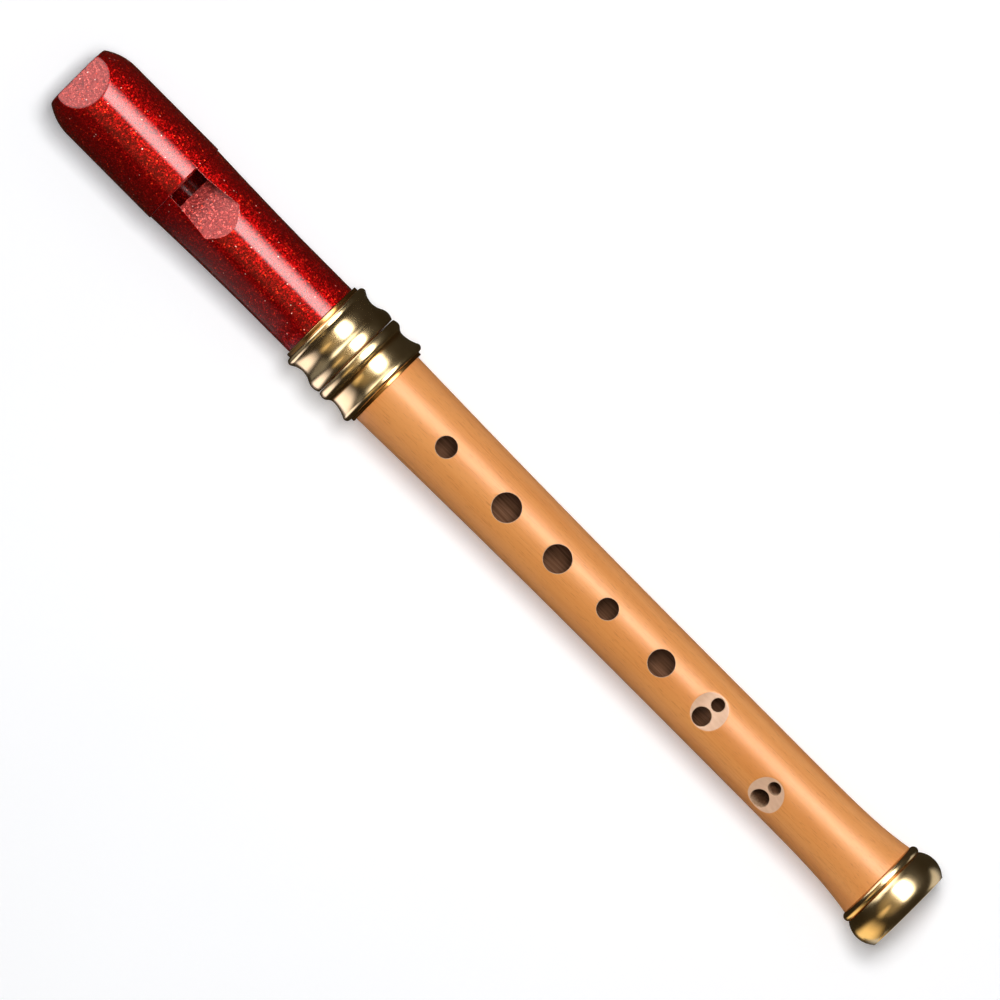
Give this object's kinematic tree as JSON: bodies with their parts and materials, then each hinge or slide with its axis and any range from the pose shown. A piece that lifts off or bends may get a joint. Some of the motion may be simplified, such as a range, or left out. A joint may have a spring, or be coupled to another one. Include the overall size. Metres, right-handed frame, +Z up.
{
  "type": "soprano recorder",
  "caption": "Two-part soprano recorder: moulded plastic head with beak, windway and window, turned pearwood body with finger holes, brass rings at the joint and foot.",
  "frame": {"origin": "on the floor under the middle of the tube's length; the tube's axis is 15.2 mm above it, the radius of the foot ring", "axes": "+X along the bore from the beak to the foot, +Z up with the finger holes on top, +Y across"},
  "size_m": [0.325, 0.0304, 0.0304],
  "materials": {
    "head_plastic": "glossy deep red with metallic flakes",
    "block_plastic": "glossy deep red with metallic flakes",
    "pearwood": "stained and oiled, satin",
    "brass": "turned and polished",
    "cork": "sanded and greased"
  },
  "bodies": {
    "body": {"body_tube": "pearwood", "body_ring": "brass", "tenon_cork": "cork", "foot_ring": "brass"},
    "head_slider": {"head_ring": "brass"},
    "head": {"head_tube": "head_plastic", "beak_cap": "head_plastic", "block": "block_plastic"}
  },
  "joints": [
    {"name": "head_pull", "type": "slide", "parent": "body", "child": "head_slider", "axis": [-1, 0, 0], "range_m": [0, 0.03]},
    {"name": "head_twist", "type": "hinge", "parent": "head_slider", "child": "head", "pos_m": [-0.0536, 0, 0.0152], "axis": [1, 0, 0], "continuous": true}
  ]
}
